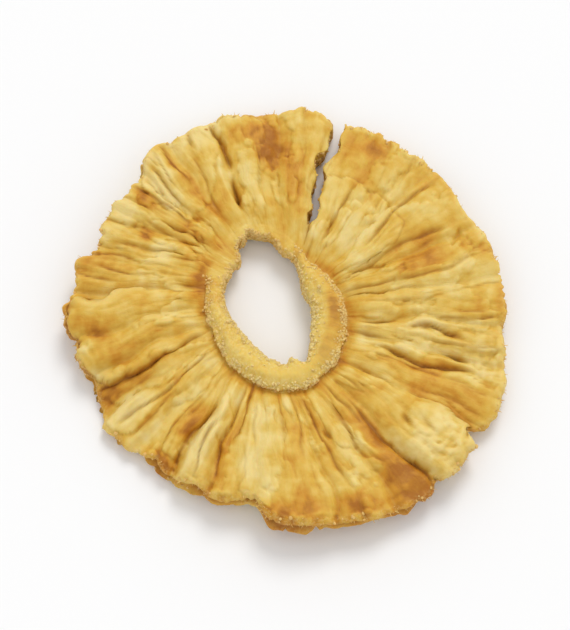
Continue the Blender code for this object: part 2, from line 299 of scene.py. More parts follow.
# Patches of paler (less than 0) or browner flesh: bearing in degrees, share, their spreads, strength
PATCHES = (
    (102.0, 0.58, 7.0, 0.16, -0.16),
    (108.0, 0.97, 6.0, 0.06, -0.26),
    (127.5, 0.80, 1.6, 0.16, -0.26),
    (133.0, 0.70, 3.5, 0.22, -0.20),
    (148.0, 0.88, 5.5, 0.12, -0.34),
    (157.0, 0.96, 4.0, 0.06, -0.26),
    (157.0, 0.50, 5.5, 0.10, -0.24),
    (188.0, 0.70, 6.0, 0.14, -0.14),
    (194.0, 0.90, 3.0, 0.06, -0.20),
    (203.0, 0.76, 4.0, 0.10, 0.26),
    (185.5, 0.92, 2.5, 0.05, 0.12),
    (183.0, 0.42, 4.0, 0.12, 0.16),
    (-141.5, 0.78, 3.0, 0.14, -0.34),
    (-132.0, 0.62, 3.5, 0.26, -0.24),
    (-115.5, 0.72, 3.0, 0.28, -0.34),
    (-96.0, 0.72, 5.0, 0.22, -0.14),
    (-82.0, 0.24, 2.5, 0.05, -0.34),
    (-63.0, 0.32, 4.0, 0.14, -0.24),
    (-59.0, 0.60, 2.0, 0.07, -0.34),
    (-43.5, 0.84, 7.0, 0.14, -0.30),
    (-40.0, 0.52, 7.0, 0.18, -0.14),
    (-12.0, 0.66, 7.0, 0.34, -0.22),
    (12.0, 0.50, 4.5, 0.34, -0.18),
    (50.0, 0.40, 15.0, 0.20, -0.26),
    # Partly a painted shadow, as of a ring lying over this part, and partly the flesh's own golden brown
    (93.0, 0.70, 4.5, 0.22, 0.42),
    (100.0, 0.76, 5.0, 0.10, 0.18),
    (86.0, 0.66, 4.0, 0.20, 0.20),
    (118.0, 0.27, 6.0, 0.12, 0.28),
    (125.0, 0.78, 1.5, 0.14, 0.30),
    (122.0, 0.50, 3.0, 0.14, 0.20),
    (140.5, 0.85, 3.5, 0.11, 0.36),
    (140.0, 0.50, 3.5, 0.12, 0.16),
    (152.0, 0.66, 2.2, 0.05, 0.48),
    (165.5, 0.90, 4.0, 0.11, 0.30),
    (173.5, 0.86, 2.5, 0.10, 0.34),
    (170.0, 0.68, 4.0, 0.12, 0.14),
    (165.0, 0.15, 22.0, 0.06, 0.34),
    (-172.0, 0.80, 6.0, 0.10, 0.14),
    (-160.0, 0.80, 4.0, 0.12, 0.16),
    (-150.5, 0.86, 3.5, 0.14, 0.32),
    (-152.5, 0.55, 2.0, 0.20, 0.20),
    (-137.0, 0.78, 1.0, 0.14, 0.24),
    (-124.0, 0.70, 3.0, 0.16, 0.36),
    (-125.0, 0.96, 4.0, 0.04, 0.40),
    (-108.0, 0.72, 3.0, 0.20, 0.26),
    (-103.0, 0.36, 1.6, 0.14, 0.20),
    (-97.0, 0.17, 4.0, 0.03, 0.50),
    (-84.0, 0.93, 12.0, 0.08, 0.32),
    (-70.0, 0.88, 4.0, 0.10, 0.36),
    (-56.5, 0.80, 5.5, 0.24, 0.54),
    (-52.5, 0.60, 2.0, 0.10, 0.35),
    (-27.5, 0.82, 4.5, 0.16, 0.28),
    (-19.6, 0.70, 1.6, 0.08, 0.40),
    (20.0, 0.55, 6.5, 0.24, 0.26),
    (-1.0, 0.80, 3.0, 0.12, 0.16),
    (60.0, 0.88, 11.0, 0.13, 0.15),
)

# The mesh: columns run along the fibres. Rows run out over the upper face, down the rim, back under
# the lower face, which has every second row, and up the wall of the hole
COLUMNS = 640
COLLAR_ROWS, STEP_ROWS, FLESH_ROWS = 14, 5, 64
FACE_ROWS = COLLAR_ROWS + STEP_ROWS + FLESH_ROWS
RIM_ROWS, HOLE_ROWS = 11, 9
RIM_CORNER, HOLE_CORNER = 1.3 * MM, 0.8 * MM

# Fibre patterns are laid out on a circle of this radius, about half way out across the flesh
FIBRE_RADIUS = 25.0 * MM

# Noise along the rim is read on a circle of this radius in millimetres
RIM_CIRCLE = 42.0

# How strongly the patches colour the flesh
PATCH_WEIGHT = 1.35

# What the torn walls of the split show; their crease value paints them a little darker, a painted shade
WALL_LOOKS = {"tone": 0.5, "crease": 0.25, "crumbly": 0.1, "edge": 0.3}


def smoothstep(low, high, x):
    t = np.clip((x - low) / (high - low), 0.0, 1.0)
    return t * t * (3.0 - 2.0 * t)


def bell(x):
    return np.exp(-(x**2))


def turn_between(a, b):
    """The angle from b to a, the short way round."""
    return (a - b + math.pi) % (2.0 * math.pi) - math.pi


def around_bearing(bearing, middle, spread):
    """1 at the middle bearing, falling off to both sides of it over the spread."""
    return bell(turn_between(bearing, middle) / spread)


def gradient_noise(points, seed):
    """Smooth noise from about -1 to 1 at each point, with one wave to a unit of length."""
    random = np.random.default_rng(seed)
    slopes = random.normal(size=(256, 3))
    slopes /= np.linalg.norm(slopes, axis=1)[:, None]
    shuffled = random.permutation(256)
    cell = np.floor(points).astype(int)
    within = points - cell
    fade = within**3 * (within * (within * 6.0 - 15.0) + 10.0)
    total = np.zeros(points.shape[:-1])
    for corner in itertools.product((0, 1), repeat=3):
        key = np.zeros(points.shape[:-1], dtype=int)
        weight = np.ones(points.shape[:-1])
        for axis, step in enumerate(corner):
            key = shuffled[(key + cell[..., axis] + step) % 256]
            weight = weight * (fade[..., axis] if step else 1.0 - fade[..., axis])
        total += weight * np.sum(slopes[key] * (within - np.array(corner)), axis=-1)
    return 1.6 * total


# The ring's proportions -----------------------------------------------------------------------


def lobe_table():
    """The lobes as columns, in order round the ring from the first furrow."""
    rows = np.array(LOBES)
    rows[:, 0] = np.radians(rows[:, 0])
    rows[:, 1:] *= MM
    return rows[np.argsort(rows[:, 0])]


def along_lobe(bearing):
    """The lobe that a bearing lies in, and how far across it, from 0 at one furrow to 1 at the next."""
    starts = lobe_table()[:, 0]
    widths = np.diff(np.append(starts, starts[0] + 2.0 * math.pi))
    turned = (bearing - starts[0]) % (2.0 * math.pi) + starts[0]
    index = np.searchsorted(starts, turned, side="right") - 1
    return index, (turned - starts[index]) / widths[index]


def stepped(bearing, values):
    """The value of the lobe at a bearing, with a short step from one lobe to the next."""
    index, across = along_lobe(bearing)
    own, before, after = values[index], values[index - 1], values[(index + 1) % len(values)]
    from_before = 0.5 - 0.5 * smoothstep(0.0, LOBE_STEP_SHARE, across)
    to_after = 0.5 * smoothstep(1.0 - LOBE_STEP_SHARE, 1.0, across)
    return own + (before - own) * from_before + (after - own) * to_after


def rim_radius(bearing):
    round_end = np.sqrt(np.clip(1.0 - (2.0 * along_lobe(bearing)[1] - 1.0) ** 2, 0.0, 1.0))
    return (
        RIM_RADIUS
        + OUTLINE_ONCE * np.cos(bearing - OUTLINE_ONCE_AT)
        + OUTLINE_TWICE * np.cos(2.0 * (bearing - OUTLINE_TWICE_AT))
        + stepped(bearing, lobe_table()[:, 3])
        - NOTCH_DEPTH * (1.0 - round_end)
    )


def hole_bearing(bearing):
    """Where round the hole the fibre that ends at this bearing of the rim begins."""
    past_split = turn_between(bearing, SPLIT_AT)
    spread = np.where(past_split > 0.0, TWIST_AFTER, TWIST_BEFORE)
    return bearing - TWIST * bell(past_split / spread)


def hole_point(bearing):
    at = hole_bearing(bearing) - HOLE_LEAN
    wide = HOLE_HALF_WIDTH * np.cos(at)
    long = HOLE_HALF_LENGTH * np.sin(at)
    x = HOLE_CENTRE[0] + wide * math.cos(HOLE_LEAN) - long * math.sin(HOLE_LEAN)
    y = HOLE_CENTRE[1] + wide * math.sin(HOLE_LEAN) + long * math.cos(HOLE_LEAN)
    return np.stack([x, y], axis=-1)


def rim_point(bearing):
    radius = rim_radius(bearing)
    return np.stack([radius * np.cos(bearing), radius * np.sin(bearing)], axis=-1)


def on_circle(bearing, radius, level=0.0):
    """Points for noise that goes round the ring without a join."""
    level = np.broadcast_to(level, bearing.shape)
    return np.stack([radius * np.cos(bearing), radius * np.sin(bearing), level], axis=-1)


def collar_width(bearing):
    at_hole = hole_bearing(bearing)
    width = COLLAR_WIDTH + COLLAR_WIDTH_SWING * np.cos(at_hole - COLLAR_WIDEST_AT)
    width = width - COLLAR_NARROWING * around_bearing(at_hole, COLLAR_NARROW_AT, COLLAR_NARROW_SPREAD)
    around = on_circle(at_hole, 12.0)
    coarse, fine = gradient_noise(around / 3.0, 31), gradient_noise(around / 0.9, 32)
    return width + 0.4 * MM * coarse + 0.25 * MM * fine


def collar_share(bearing):
    """1 where the collar stands free of the flesh, 0 where the flesh covers it."""
    return smoothstep(-0.75, 0.1, np.cos(hole_bearing(bearing) - COLLAR_HIGHEST_AT))


def middle_height(bearing, share):
    """The height of the middle of the thickness: the slice's waves, and its lobes' own heights."""
    waves = WARP_TWICE * np.cos(2.0 * (bearing - WARP_TWICE_AT))
    waves = waves + WARP_THRICE * np.cos(3.0 * (bearing - WARP_THRICE_AT))
    return share**2 * (waves + stepped(bearing, lobe_table()[:, 4]))


# The grid that the flesh is shaped from -------------------------------------------------------


class Grid:
    """Where each vertex lies along its fibre, before any relief. Arrays are columns by rows."""

    def __init__(self):
        under_rows = (FACE_ROWS + 1) // 2
        self.top = np.arange(FACE_ROWS)
        self.rim = FACE_ROWS + np.arange(RIM_ROWS)
        self.bottom = FACE_ROWS + RIM_ROWS + np.arange(under_rows)[::-1]
        self.hole = FACE_ROWS + RIM_ROWS + under_rows + np.arange(HOLE_ROWS)

        turn = np.linspace(0.0, 2.0 * math.pi, COLUMNS)[:, None]
        straight = SPLIT_AT + turn
        self.length = np.linalg.norm(rim_point(straight) - hole_point(straight), axis=-1)
        self.place_rows(collar_width(straight))
        self.share = self.out / self.length
        self.upper, self.lower = np.clip(self.face, 0.0, 1.0), np.clip(-self.face, 0.0, 1.0)
        self.bearing = straight + self.opening(turn)
        inside = int(np.searchsorted(self.share[0, self.top], SPLIT_ROOT))
        self.root = inside + inside % 2
        self.open_rows = np.arange(self.root, FACE_ROWS)

        # Where each vertex lies against the collar and the rim
        self.past_collar = self.out - collar_width(self.bearing)
        self.standing = collar_share(self.bearing)
        self.on_collar = 1.0 - smoothstep(0.0, COLLAR_STEP, self.past_collar)
        self.fleshy = np.clip(self.past_collar / (self.past_collar + self.length - self.out), 0.0, 1.0)
        self.in_flesh = smoothstep(0.0, 0.18, self.fleshy)
        self.before_rim = self.length - self.out

        # Where it lies in plan
        hole, rim = hole_point(self.bearing), rim_point(self.bearing)
        self.plan = hole + (rim - hole) * self.share[..., None]
        self.along = (rim - hole) / np.linalg.norm(rim - hole, axis=-1)[..., None]
        self.aside = np.stack([-self.along[..., 1], self.along[..., 0]], axis=-1)
        self.reach = np.linalg.norm(self.plan, axis=-1)

        # Torn, grainy wood covers the collar's left side, its inner part on the right, and its edges
        self.at_hole = hole_bearing(self.bearing)
        on_left = around_bearing(self.at_hole, math.radians(185), math.radians(62))
        inner = 1.0 - smoothstep(1.4 * MM, 3.4 * MM, self.out)
        outer = smoothstep(-1.6 * MM, -0.6 * MM, self.past_collar)
        golden = around_bearing(self.at_hole, GOLDEN_AT, GOLDEN_SPREAD)
        self.golden = golden * self.on_collar * smoothstep(2.0 * MM, 3.4 * MM, self.out)
        self.grainy = self.on_collar * np.clip(0.15 + on_left + inner + outer, 0.0, 1.0)
        self.grainy = self.grainy * (0.15 + 0.85 * self.standing) * (1.0 - 0.8 * self.golden)

        # Fibres wander: relief and colour follow this bearing, and so don't run quite straight. The
        # noise that bends the fibres runs along the straight ones, and all later noise along the bent
        window = 4.0 * self.share * (1.0 - self.share)
        self.fibre = on_circle(self.bearing, FIBRE_RADIUS, self.out)
        drift = 3.2 * window * self.along_fibres(10.0, 12.0, 1)
        drift = drift + 1.3 * window * self.along_fibres(3.5, 5.0, 2)
        self.wandering = self.bearing + np.radians(drift)
        self.fibre = on_circle(self.wandering, FIBRE_RADIUS, self.out)

    def place_rows(self, collar):
        """Face rows crowd at the collar's edge, and draw together a little towards the rim."""
        on_collar = HOLE_CORNER + (collar - HOLE_CORNER - 0.2 * MM) * np.linspace(0.0, 1.0, COLLAR_ROWS)
        on_step = collar + np.linspace(0.0, COLLAR_STEP, STEP_ROWS)
        foot = collar + COLLAR_STEP
        spread = np.sin(0.3 * math.pi * np.arange(1, FLESH_ROWS + 1) / FLESH_ROWS) / math.sin(0.3 * math.pi)
        on_flesh = foot + (self.length - RIM_CORNER - foot) * spread
        on_face = np.concatenate([on_collar, on_step, on_flesh], axis=1)
        round_rim = math.pi * np.arange(1, RIM_ROWS + 1) / (RIM_ROWS + 1)
        round_hole = math.pi * np.arange(1, HOLE_ROWS + 1) / (HOLE_ROWS + 1)
        in_rim = self.length - RIM_CORNER + RIM_CORNER * np.sin(round_rim) ** 0.7
        in_hole = HOLE_CORNER - HOLE_CORNER * np.sin(round_hole) ** 0.6 + 0.0 * self.length
        self.out = np.concatenate([on_face, in_rim, on_face[:, ::-2], in_hole], axis=1)
        edge, wall = np.cos(round_rim), -np.cos(round_hole)
        self.face = np.concatenate(
            [
                np.ones(FACE_ROWS),
                np.sign(edge) * np.abs(edge) ** 0.8,
                -np.ones(len(self.bottom)),
                np.sign(wall) * np.abs(wall) ** 0.8,
            ]
        )

    def opening(self, turn):
        """How far each vertex swings away from the split, so that it gapes."""
        open_share = np.clip((self.share - SPLIT_ROOT) / (1.0 - SPLIT_ROOT), 0.0, 1.0)
        gap = SPLIT_INNER_GAP + (SPLIT_OUTER_GAP - SPLIT_INNER_GAP) * open_share
        gap = gap * smoothstep(0.0, 0.1, open_share)
        turn, face = turn + 0.0 * self.out, self.face + 0.0 * self.out
        gap = gap * (1.0 + 0.4 * gradient_noise(np.stack([self.out / (2.2 * MM), turn, face], -1), 5))
        reach = np.maximum(self.share * RIM_RADIUS, 8.0 * MM)
        before, after = np.exp(-turn / 0.2), np.exp(-(2.0 * math.pi - turn) / 0.2)
        wander = 0.6 * np.sin(self.out / (2.6 * MM)) + 0.35 * np.sin(self.out / (1.1 * MM) + 1.0)
        wander = wander * MM * smoothstep(0.0, 0.2, open_share)
        return (0.5 * gap * (before - after) + wander * (before + after)) / reach

    def along_fibres(self, across, along, seed):
        """Noise drawn out along the fibres, with waves of these lengths in millimetres."""
        return gradient_noise(self.fibre / MM / np.array([across, across, along]), seed)

    def in_plan(self, size, seed):
        """Noise with waves of this length in millimetres, the same in every direction."""
        return gradient_noise(np.concatenate([self.plan, self.reach[..., None]], axis=-1) / MM / size, seed)

    def beside(self, degrees, wander=0.0):
        """How far in millimetres each vertex lies to the side of the fibre at this bearing."""
        return turn_between(self.wandering, math.radians(degrees) + wander) * self.reach / MM

    def blurred(self, field, across, along):
        """The field's mean over a window of so many columns and rows."""
        wide = np.concatenate([field[-across:], field, field[:across]])
        total = np.cumsum(np.concatenate([np.zeros((1, field.shape[1])), wide]), axis=0)
        field = (total[2 * across + 1 :] - total[: -2 * across - 1]) / (2 * across + 1)
        tall = np.pad(field, ((0, 0), (along, along)), mode="edge")
        total = np.cumsum(np.concatenate([np.zeros((len(field), 1)), tall], axis=1), axis=1)
        return (total[:, 2 * along + 1 :] - total[:, : -2 * along - 1]) / (2 * along + 1)


# Relief, in millimetres -----------------------------------------------------------------------


def lasting(share, start, end):
    """1 between two shares of a fibre's length, and 0 beyond them."""
    return smoothstep(start - 0.05, start + 0.1, share) * (1.0 - smoothstep(end - 0.1, end + 0.05, share))


def creases(grid):
    """The named creases and pits: their height, the shade painted into them, and the steps beside them."""
    height, dark, steps = (np.zeros_like(grid.share) for _ in range(3))
    random = np.random.default_rng(12)
    for degrees, start, end, depth, width, step in CREASES:
        wander = np.radians(0.9) * np.sin(grid.share * random.uniform(6, 11) + random.uniform(0, 6))
        aside = grid.beside(degrees, wander)
        there = lasting(grid.share, start, end)
        uneven = np.abs(np.sin(grid.share * random.uniform(8, 16) + random.uniform(0, 3)))
        narrow = width * (0.6 + 0.8 * uneven)
        height -= depth * there * np.exp(-((np.abs(aside) / narrow) ** 1.3))
        fading = np.exp(-np.abs(aside) / (5.0 * width))
        steps += 0.5 * step * there * np.tanh(aside / (0.5 * width)) * fading
        # Painted shade: the flesh is painted darker down the middle of each crease
        dark = np.maximum(dark, there * min(1.0, 1.2 * depth) * bell(aside / (0.8 * narrow)))
    for degrees, at, radius, depth in PITS:
        beyond = (grid.share - at) * RIM_RADIUS / MM / 1.8
        beyond_wall = np.hypot(grid.beside(degrees), beyond) + 0.45 * grid.along_fibres(0.8, 2.0, 36)
        pit = np.exp(-((beyond_wall / radius) ** 2))
        height -= depth * pit
        # Painted shade in each pit
        dark = np.maximum(dark, 0.5 * pit)
    return height, dark, steps


def cords(grid):
    """Cords that stand up along the fibres and swell here and there."""
    height = np.zeros_like(grid.share)
    random = np.random.default_rng(13)
    for degrees, start, end, rise, width in CORDS:
        wander = np.radians(0.9) * np.sin(grid.share * random.uniform(4, 8) + random.uniform(0, 6))
        swell = 0.75 + 0.25 * np.sin(grid.share * random.uniform(9, 15))
        across = bell(grid.beside(degrees, wander) / width)
        height += rise * swell * lasting(grid.share, start, end) * across
    return height


def flaps(grid):
    """Raised sheets with torn edges, flush towards the hole, and the shadow painted on the flesh at their
    foot.
    """
    steps, dark = np.zeros_like(grid.share), np.zeros_like(grid.share)
    torn = 0.24 * grid.along_fibres(2.2, 7.0, 33) + 0.14 * grid.along_fibres(0.9, 3.0, 34)
    torn = torn + 0.50 * grid.in_plan(4.5, 38)
    for degrees, at, spread, reach, rise in FLAPS:
        sideways = turn_between(grid.wandering, math.radians(degrees)) / math.radians(spread)
        outwards = (grid.share - at) / reach
        inside = 1.0 - sideways**4 - outwards**4 + torn
        raised = rise * smoothstep(-0.9, 0.1, outwards)
        steps += raised * smoothstep(-0.12, 0.12, inside)
        # Painted shadow: a dark line on the flesh just below each flap's torn edge
        dark = np.maximum(dark, np.clip(raised, 0.0, 0.9) * bell((inside + 0.14) / 0.12))
    return steps, dark


def layers(grid, seed):
    """Thin layers that have come away here and there, with edges that run mostly along the fibres."""
    lie = grid.along_fibres(6.0, 16.0, seed) + 0.30 * grid.along_fibres(1.6, 3.4, seed + 1)
    lie = lie + 0.12 * grid.along_fibres(0.8, 1.2, seed + 2)
    return smoothstep(-0.05, 0.05, lie - 0.12)


def short_wrinkles(grid, count, seed):
    """Height of many short wrinkles that run more or less along the fibres, and the shade painted into
    them.
    """
    random = np.random.default_rng(seed)
    height, dark = np.zeros_like(grid.share), np.zeros_like(grid.share)
    for _ in range(count):
        at = random.uniform(0.0, 2.0 * math.pi)
        start = random.uniform(0.1, 0.85)
        end = start + random.uniform(0.1, 0.34)
        depth, width = random.uniform(0.04, 0.22), random.uniform(0.2, 0.36)
        slant = random.normal(0.0, math.radians(8.0))
        bend = random.normal(0.0, math.radians(18.0))
        course = at + (grid.share - start) * (slant + bend * (grid.share - end))
        aside = turn_between(grid.wandering, course) * grid.reach / MM
        profile = lasting(grid.share, start, end) * np.exp(-((np.abs(aside) / width) ** 1.3))
        height -= depth * profile
        # Painted shade, darker in the deeper wrinkles
        dark = np.maximum(dark, profile * depth)
    return height, dark


def folds(grid, count, seed):
    """Height of long folds round the ring, and the shade painted into their creases: each rises slowly and
    drops into a crease.
    """
    phase = grid.wandering * count / (2.0 * math.pi)
    phase = phase + 0.8 * grid.along_fibres(12.0, 22.0, seed) + 0.15 * grid.along_fibres(4.0, 8.0, seed + 1)
    lean = grid.along_fibres(14.0, 30.0, seed + 2)
    size = np.clip(0.25 + 1.3 * grid.along_fibres(9.0, 14.0, seed + 3), 0.0, 1.4)
    size = size * np.tanh(4.0 * np.abs(lean))
    across = np.where(lean > 0.0, phase, -phase) % 1.0
    rise = smoothstep(0.0, 0.75, across) * (1.0 - smoothstep(0.84, 1.0, across))
    crease = np.exp(-((np.minimum(across, 1.0 - across) / 0.075) ** 1.3))
    # The second value is the shade painted into each fold's crease
    return size * (rise - 0.5 - 0.5 * crease), size * crease


def crumple(grid, seed):
    """Gently puffed flesh between narrow valleys, as leathery skin has when it shrinks."""
    broad = np.abs(grid.along_fibres(6.0, 20.0, seed))
    middling = np.abs(grid.along_fibres(2.4, 9.0, seed + 1))
    fine = np.abs(grid.along_fibres(1.1, 4.0, seed + 2))
    valleys = 0.22 * np.exp(-broad / 0.12) + 0.16 * np.exp(-middling / 0.13) + 0.07 * np.exp(-fine / 0.2)
    lumps = 0.34 * grid.in_plan(9.0, seed + 3) + 0.16 * grid.in_plan(3.6, seed + 4)
    return 0.26 * broad + 0.10 * middling - valleys + lumps + 0.05 * grid.along_fibres(0.8, 5.0, seed + 5)


def knobs(grid):
    """Knobbly torn flesh at the ends of some lobes."""
    height = np.zeros_like(grid.share)
    knobbly = np.clip(grid.in_plan(2.0, 61) + 0.6 * grid.in_plan(1.1, 62), -0.6, 1.0)
    for degrees, at, spread, reach, rise in KNOBBLY:
        aside = turn_between(grid.wandering, math.radians(degrees)) / math.radians(spread)
        height += rise * knobbly * bell(np.hypot(aside, (grid.share - at) / reach))
    return height


def rim_notches(grid):
    """How far the named notches cut into the rim."""
    around = grid.bearing + np.radians(1.2) * gradient_noise(on_circle(grid.bearing, RIM_CIRCLE) / 3.0, 66)
    return sum(
        depth * np.exp(-np.abs(turn_between(around, math.radians(degrees)) / math.radians(spread)) ** 1.5)
        for degrees, depth, spread in RIM_NOTCHES
    )


def lower_lip(grid):
    """1 where the rim's lower lip reaches out past the upper one, falling off to both sides."""
    return around_bearing(grid.bearing, LIP_SETBACK_AT, LIP_SETBACK_SPREAD)


def rim_teeth(grid, sizes):
    """How far the rim is torn outwards or inwards, with teeth of its own in each lip."""
    sheet = np.where(grid.face > 0.0, 0.0, 40.0) + 0.0 * grid.share
    around = on_circle(grid.bearing, RIM_CIRCLE, sheet)
    ragged = np.clip(0.55 + 1.0 * gradient_noise(around / 14.0, 9), 0.12, 1.4)
    teeth = sum(
        length * gradient_noise(around / size, seed)
        for length, size, seed in ((0.50, 3.1, 10), (0.60, 1.9, 4), (0.40, 0.95, 6))
    )
    slits = np.clip(1.0 - np.abs(gradient_noise(around / 3.4, 7)) / 0.16, 0.0, 1.0)
    torn = 1.25 * gradient_noise(around / 6.5, 3) + ragged * (teeth - 0.8 * slits) - rim_notches(grid)
    lower = lower_lip(grid) * (grid.face < 0.0)
    torn = torn + lower * (1.3 * gradient_noise(around / 4.2, 67) - 0.4)
    near = 1.0 - smoothstep(0.0, 4.5 * MM, grid.before_rim)
    return sizes.fray * torn * near**1.5


def rim_groove(grid):
    """1 in the middle of the groove between the rim's lips, which wanders and comes and goes."""
    around = on_circle(grid.bearing, RIM_CIRCLE)
    middle = 0.4 * gradient_noise(around / 11.0, 64)
    depth = np.clip(0.75 + 1.1 * gradient_noise(around / 7.0, 65), 0.1, 1.2)
    depth = np.maximum(depth, 0.8 * lower_lip(grid))
    return depth * bell((grid.face - middle) / 0.3) * (grid.before_rim < RIM_CORNER)


def hole_edge(grid):
    """How far the edge of the hole is pushed out into the collar, by its nicks, knobs and fuzz."""
    push = np.zeros_like(grid.share)
    for degrees, depth, spread in HOLE_NICKS:
        push += depth * around_bearing(grid.at_hole, math.radians(degrees), math.radians(spread))
    rough = on_circle(grid.at_hole, 11.0, 3.0 * grid.face + 0.0 * grid.share)
    push += 0.35 * gradient_noise(rough / 3.5, 16) + 0.30 * gradient_noise(rough / 1.2, 17)
    return MM * push * (1.0 - smoothstep(0.0, 4.2 * MM, grid.out))


def collar_roll(grid):
    """How far the collar's grainy outer edge is pushed out, so that it leans over its foot."""
    past = grid.past_collar / MM
    grains = 0.22 * gradient_noise(on_circle(grid.at_hole, 14.0) / 0.8, 35)
    lip = (0.40 + grains) * bell((past - 0.15) / 0.3) - 0.25 * bell((past - 0.8) / 0.3)
    return MM * lip * grid.standing * grid.upper


def body_height(grid):
    """The height of the plain solid form, and the depth of the furrows between its lobes."""
    foot = bell((grid.past_collar - COLLAR_STEP) / COLLAR_FOOT_WIDTH) * grid.standing
    flesh = (
        FLESH_THICKNESS / 2.0
        + CROWN_RISE / 2.0 * np.sin(math.pi * grid.fleshy**0.8)
        - RIM_DROP / 2.0 * smoothstep(0.75, 1.0, grid.fleshy)
        - COLLAR_FOOT_DEPTH / 2.0 * foot
    )
    crown = np.sin(math.pi * np.clip(grid.out / (grid.out - grid.past_collar), 0.0, 1.0) ** 1.5)
    raised = (COLLAR_RISE + COLLAR_CROWN * (crown - 0.6)) * grid.standing * (grid.face > 0.0)
    half = flesh + (COLLAR_THICKNESS / 2.0 + raised - flesh) * grid.on_collar

    table = lobe_table()
    index, across = along_lobe(grid.wandering)
    lobes = table[index, 2] * (1.0 - (2.0 * across - 1.0) ** 2)
    furrows = np.zeros_like(grid.share)
    for start, depth in table[:, :2]:
        gap = np.abs(turn_between(grid.wandering, start)) * grid.reach
        furrows += FURROW_SHARE * depth * np.exp(-((gap / FURROW_WIDTH) ** 1.3))
    furrows = furrows * (0.35 + 0.65 * smoothstep(0.25, 0.75, grid.fleshy))
    lift = (lobes - furrows) * grid.in_flesh * np.where(grid.face > 0.0, 1.0, UNDERSIDE_RELIEF)
    return middle_height(grid.bearing, grid.share) + grid.face * (half + lift), furrows * grid.in_flesh


def rolled_over(grid, steps, roll):
    """How far each step's upper edge leans out over its foot, to the side and along the fibre."""
    rise = grid.blurred(steps, 1, 1)
    sideways = np.gradient(rise, axis=0) / (np.gradient(grid.bearing, axis=0) * grid.reach / MM)
    outwards = np.zeros_like(rise)
    row_gaps = np.gradient(grid.out[:, grid.top] / MM, axis=1)
    outwards[:, grid.top] = np.gradient(rise[:, grid.top], axis=1) / row_gaps
    most = 0.55
    return -np.clip(roll * sideways, -most, most) * MM, -np.clip(roll * outwards, -most, most) * MM


def ring_surface(grid, sizes):
    """The position of every vertex, and what its material and its crumbs read."""
    base, furrows = body_height(grid)
    named, named_dark, named_steps = creases(grid)
    small, small_dark = short_wrinkles(grid, 240, 21)
    flap_steps, flap_dark = flaps(grid)
    steps = named_steps + flap_steps + 0.45 * layers(grid, 41)
    long_folds, long_dark = folds(grid, 43, 81)
    thin_folds, thin_dark = folds(grid, 101, 86)
    spread_out = 0.3 + 0.7 * smoothstep(0.05, 0.5, grid.fleshy)
    weighted = (0.48 * long_folds, 0.40 * long_dark, 0.13 * thin_folds, 0.14 * thin_dark)
    long_folds, long_dark, thin_folds, thin_dark = (spread_out * field for field in weighted)
    detail = named + cords(grid) + steps + small + crumple(grid, 50) + knobs(grid) + long_folds + thin_folds
    small_dark = np.maximum(small_dark, np.maximum(long_dark, thin_dark))
    under_small, under_dark = short_wrinkles(grid, 160, 22)
    under = 0.7 * crumple(grid, 60) + under_small + 0.4 * layers(grid, 71)
    grain = grid.grainy * (0.24 * grid.in_plan(1.2, 15) + 0.16 * grid.in_plan(0.7, 28))
    grain = 0.14 * grid.in_plan(1.8, 14) + grain

    relief = grid.upper * detail + grid.lower * under
    curl = (1.0 - smoothstep(0.0, 5.0 * MM, grid.before_rim)) * (
        0.5 * grid.along_fibres(8.0, 60.0, 18) + 0.35 * grid.along_fibres(2.6, 60.0, 19)
    )
    height = base + sizes.wrinkle * (grid.upper * detail - grid.lower * under) * grid.in_flesh
    height = height + MM * (curl * np.abs(grid.face) ** 0.5 + grain * grid.on_collar * grid.face)
    floor = base.min() + REST_FLAT
    soft = 0.15 * MM
    height = floor + soft * np.logaddexp(0.0, (height - floor) / soft)

    lean_aside, lean_out = rolled_over(grid, steps, 0.32)
    push = rim_teeth(grid, sizes) + hole_edge(grid)
    push = push - RIM_GROOVE * rim_groove(grid)
    uneven = 1.0 + 0.9 * gradient_noise(on_circle(grid.bearing, RIM_CIRCLE) / 9.0, 63)
    past_upper = lower_lip(grid)
    setback = LIP_SETBACK * uneven * (grid.upper * past_upper + grid.lower * (1.0 - past_upper))
    push = push - grid.share**4 * setback
    push = push + collar_roll(grid)
    loose = grid.upper * grid.in_flesh
    forward, sideways = push + lean_out * loose, lean_aside * loose
    place = grid.plan + grid.along * forward[..., None] + grid.aside * sideways[..., None]
    # The shade painted into creases, pits, wrinkles and folds, and the shadow painted below the flaps'
    # edges
    dark = np.maximum(np.maximum(named_dark, flap_dark), small_dark)
    dark = dark * grid.upper + under_dark * grid.lower
    return np.concatenate([place, height[..., None]], axis=-1), looks(grid, relief, furrows, dark, grain)


def patchiness(grid):
    """How much browner (more than 0) or paler the flesh is, by its patches."""
    total = np.zeros_like(grid.share)
    for degrees, at, spread, spread_along, strength in PATCHES:
        aside = turn_between(grid.wandering, math.radians(degrees)) / math.radians(spread)
        total += PATCH_WEIGHT * strength * bell(np.hypot(aside, (grid.share - at) / spread_along))
    return total


